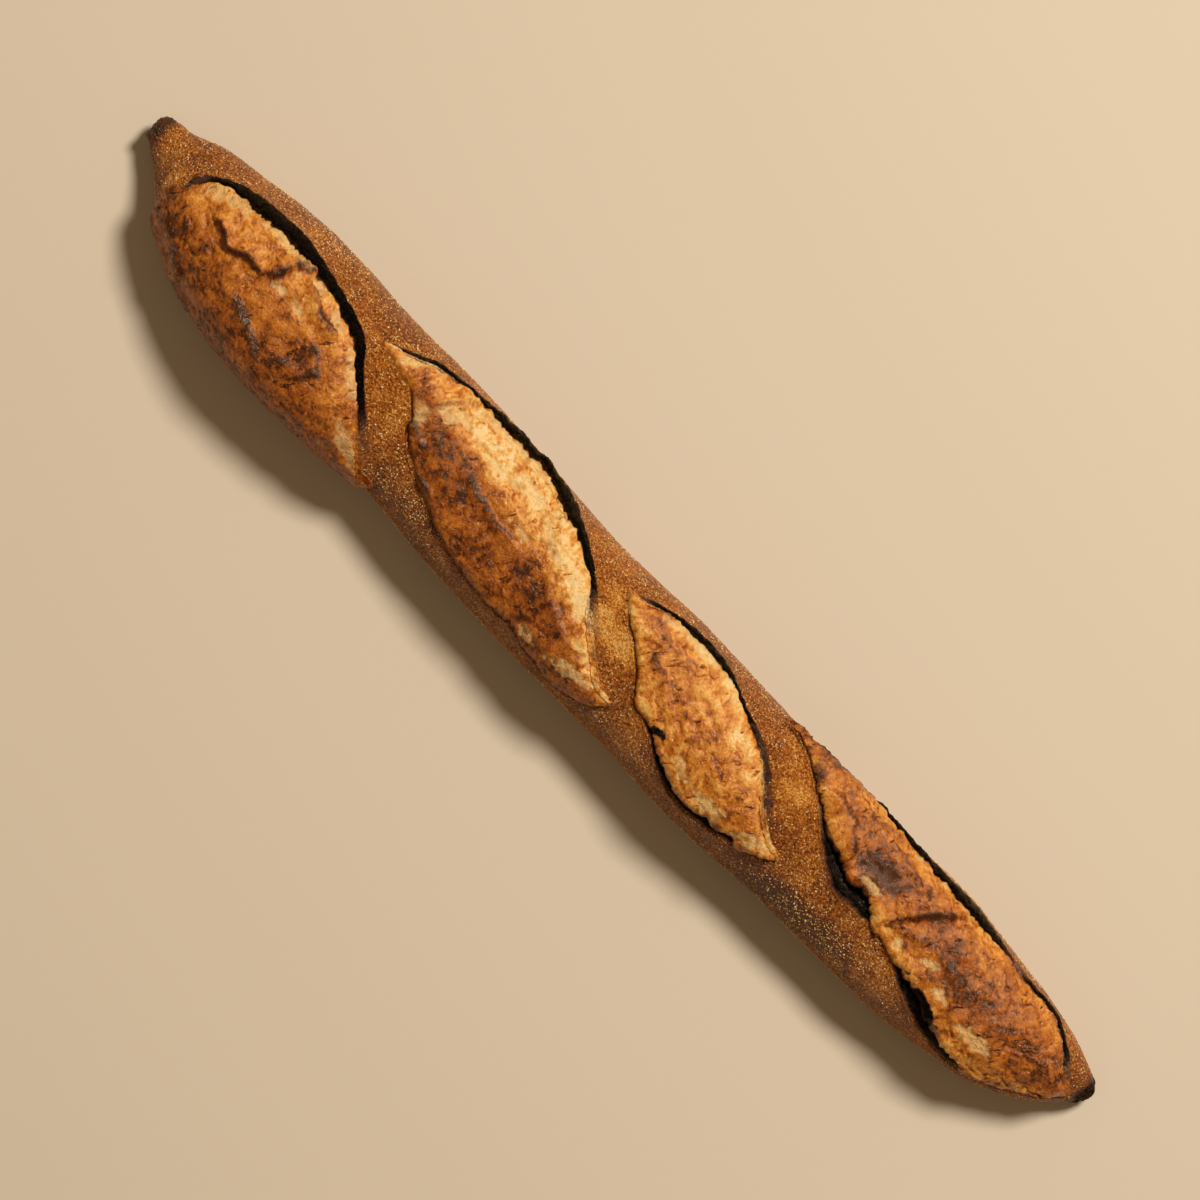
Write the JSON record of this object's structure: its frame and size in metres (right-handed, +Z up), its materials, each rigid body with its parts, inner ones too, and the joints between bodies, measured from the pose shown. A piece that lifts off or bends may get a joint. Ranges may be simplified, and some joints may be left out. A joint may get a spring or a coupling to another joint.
{
  "type": "baguette",
  "caption": "Long crusty loaf with a flat underside, pointed ends and slanting cuts along its top, each opened under a raised ear of crust.",
  "frame": {"origin": "centre of the bounding box in X and Y, on the plane of the flat underside", "axes": "+X along the loaf from its blunt, wide-cut end to its narrower end, +Z up, +Y towards the side with the unbroken crust"},
  "size_m": [0.56, 0.072, 0.0494],
  "materials": {
    "crust": null
  },
  "bodies": {
    "root": {"baguette": "crust"}
  },
  "joints": []
}
